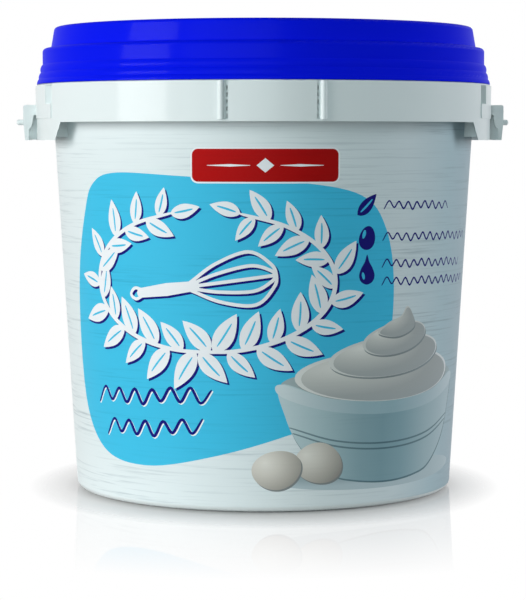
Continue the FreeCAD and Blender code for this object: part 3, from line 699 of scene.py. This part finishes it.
# A contact shadow is painted beside the foot as a darker tone, fading out by the pair's far edge.
past_contact_shadow = add(tree, "ShaderNodeMapRange", inputs={
    "Value": round_reach, "From Min": CONTACT_SHADOW_NEAR, "From Max": CONTACT_SHADOW_FAR})
seen_tone = add(tree, "ShaderNodeMix", {"data_type": "RGBA"}, {
    "Factor": past_contact_shadow.outputs["Result"], "A": linear(PAINTED_CONTACT_SHADOW),
    "B": linear(TABLE_IN_SHADOW)})
floor_tone = add(tree, "ShaderNodeMix", {"data_type": "RGBA"}, {
    "Factor": seen, "A": linear(TABLE_FOR_BOUNCE), "B": seen_tone.outputs["Result"]})
matt = add(tree, "ShaderNodeBsdfDiffuse", inputs={"Color": floor_tone.outputs["Result"]})
# Out of the shadow the table top is seen as plain white, and in it as the matt tone.
bare = add(tree, "ShaderNodeMapRange", inputs={
    "Value": reach, "From Min": SHADOW_NEAR, "From Max": SHADOW_FAR})
bare_seen = add(tree, "ShaderNodeMath", {"operation": "MULTIPLY"}, {
    0: bare.outputs["Result"], 1: seen})
plain = add(tree, "ShaderNodeEmission", inputs={"Strength": 1.0})
ground = add(tree, "ShaderNodeMixShader", inputs={
    "Fac": bare_seen.outputs["Value"], 1: matt.outputs["BSDF"], 2: plain.outputs["Emission"]})
gloss_share = add(tree, "ShaderNodeMapRange", inputs={
    "Value": reach, "From Min": GLOSS_NEAR, "From Max": GLOSS_FAR,
    "To Min": GLOSS_SHARE, "To Max": 0.0})
gloss = add(tree, "ShaderNodeBsdfGlossy", inputs={
    "Color": linear(PLAIN_WHITE), "Roughness": GLOSS_ROUGHNESS})
table = add(tree, "ShaderNodeMixShader", inputs={
    "Fac": gloss_share.outputs["Result"], 1: ground.outputs["Shader"], 2: gloss.outputs["BSDF"]})
tree.links.new(table.outputs["Shader"], surface)
floor_mesh.materials.append(floor_finish)

# The room is seen as plain white too, and what it adds to the light is weak and cool.
WORLD_FILL = "#D0F0F6"
WORLD_STRENGTH = 0.15

world = bpy.data.worlds.new("studio")
bpy.context.scene.world = world
world.use_nodes = True
tree = world.node_tree
tree.nodes.clear()
fill = add(tree, "ShaderNodeBackground", inputs={
    "Color": linear(WORLD_FILL), "Strength": WORLD_STRENGTH})
white = add(tree, "ShaderNodeBackground", inputs={"Color": linear(PLAIN_WHITE), "Strength": 1.0})
choice = add(tree, "ShaderNodeMixShader", inputs={
    "Fac": seen_rays(tree), 1: fill.outputs["Background"], 2: white.outputs["Background"]})
output = add(tree, "ShaderNodeOutputWorld")
tree.links.new(choice.outputs["Shader"], output.inputs["Surface"])


def soft_lamp(name, turn, distance, height, wide, tall, power, tint, glints=True):
    """A rectangular soft lamp, turned by degrees from the front, aimed at the pail's middle."""
    lamp = bpy.data.lights.new(name, "AREA")
    lamp.shape = "RECTANGLE"
    lamp.size = wide
    lamp.size_y = tall
    lamp.energy = power
    lamp.color = linear(tint)[:3]
    holder = bpy.data.objects.new(name, lamp)
    bpy.context.scene.collection.objects.link(holder)
    angle = math.radians(turn)
    holder.location = (distance * math.sin(angle), -distance * math.cos(angle), height)
    aim = Vector((0, 0, cad_box[1][2] / 2)) - holder.location
    holder.rotation_euler = aim.to_track_quat("-Z", "Y").to_euler()
    holder.visible_glossy = glints
    return holder


soft_lamp("key_lamp", turn=-62, distance=1.2, height=0.37, wide=0.58, tall=0.62, power=9.2,
          tint="#FFFCFB")
soft_lamp("front_lamp", turn=-18, distance=1.5, height=0.43, wide=1.3, tall=0.9, power=6.8,
          tint="#EAFDFF")
soft_lamp("side_lamp", turn=94, distance=1.3, height=0.38, wide=0.3, tall=0.7, power=8.1,
          tint="#F6FAFF", glints=False)
back_lamp = soft_lamp("back_lamp", turn=180, distance=1.3, height=0.12, wide=0.6, tall=0.2,
                      power=5.5, tint="#F2FAFD", glints=False)
back_lamp.visible_camera = False

CAMERA_LENS = 135.1
CAMERA_NEAREST = 0.05
CAMERA_DISTANCE = 1.050
CAMERA_HEIGHT = 0.1612
CAMERA_TURN = math.radians(-2.15)
CAMERA_HEADING = math.radians(-2.14)
CAMERA_DIP = math.radians(4.1)

camera = bpy.data.objects.new("camera", bpy.data.cameras.new("camera"))
camera.data.lens = CAMERA_LENS
camera.data.clip_start = CAMERA_NEAREST
camera.location = (CAMERA_DISTANCE * math.sin(CAMERA_TURN),
                   -CAMERA_DISTANCE * math.cos(CAMERA_TURN), CAMERA_HEIGHT)
camera.rotation_euler = (math.pi / 2 - CAMERA_DIP, 0, CAMERA_HEADING)
bpy.context.scene.collection.objects.link(camera)
bpy.context.scene.camera = camera
bpy.context.scene.view_settings.view_transform = "Standard"
